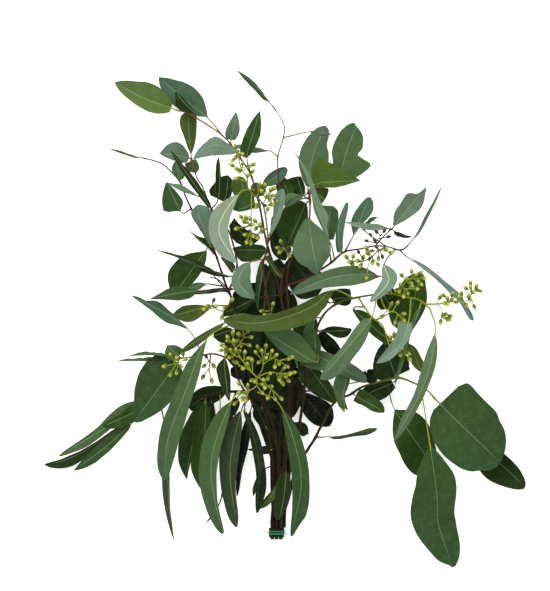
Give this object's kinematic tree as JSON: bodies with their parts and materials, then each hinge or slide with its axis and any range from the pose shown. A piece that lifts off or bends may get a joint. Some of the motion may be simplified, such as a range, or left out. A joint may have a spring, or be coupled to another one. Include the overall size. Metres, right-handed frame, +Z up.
{
  "type": "eucalyptus branch bunch",
  "caption": "Bunch of cut eucalyptus branches with broad and sickle-shaped leaves and bud sprays, tied near the cut ends and lying on its side.",
  "frame": {"origin": "on the surface the bunch lies on, under the middle of its outline", "axes": "+Y from the cut ends to the tips, +X across the bunch, +Z up from the surface"},
  "size_m": [0.484, 0.499, 0.1192],
  "materials": {
    "leaves": "leathery leaf with a dull waxy bloom",
    "bark": "smooth red-brown bark, paler and yellower on the young twigs",
    "buds": "smooth yellow-green buds",
    "band": "dark matt rubber",
    "strand": "bright green waxed strand"
  },
  "bodies": {
    "root": {"leafy_stem_top_left": "leaves", "leafy_stem_left": "leaves", "leafy_stem_top_right": "leaves", "leafy_stem_right": "leaves", "leafy_stem_lower_right": "leaves", "leafy_stem_lower_left": "leaves", "bud_spray_top": "buds", "bud_spray_heart": "buds", "bud_spray_upper_right": "buds", "bud_spray_right": "buds", "bud_spray_far_right": "buds", "bud_spray_inner_right": "buds", "bud_spray_small": "buds", "bud_spray_upper_left": "buds", "bud_spray_left": "buds", "bud_spray_inner_left": "buds", "bud_spray_middle": "buds", "tie_band": "band", "green_strand_1": "strand", "green_strand_2": "strand"}
  },
  "joints": []
}
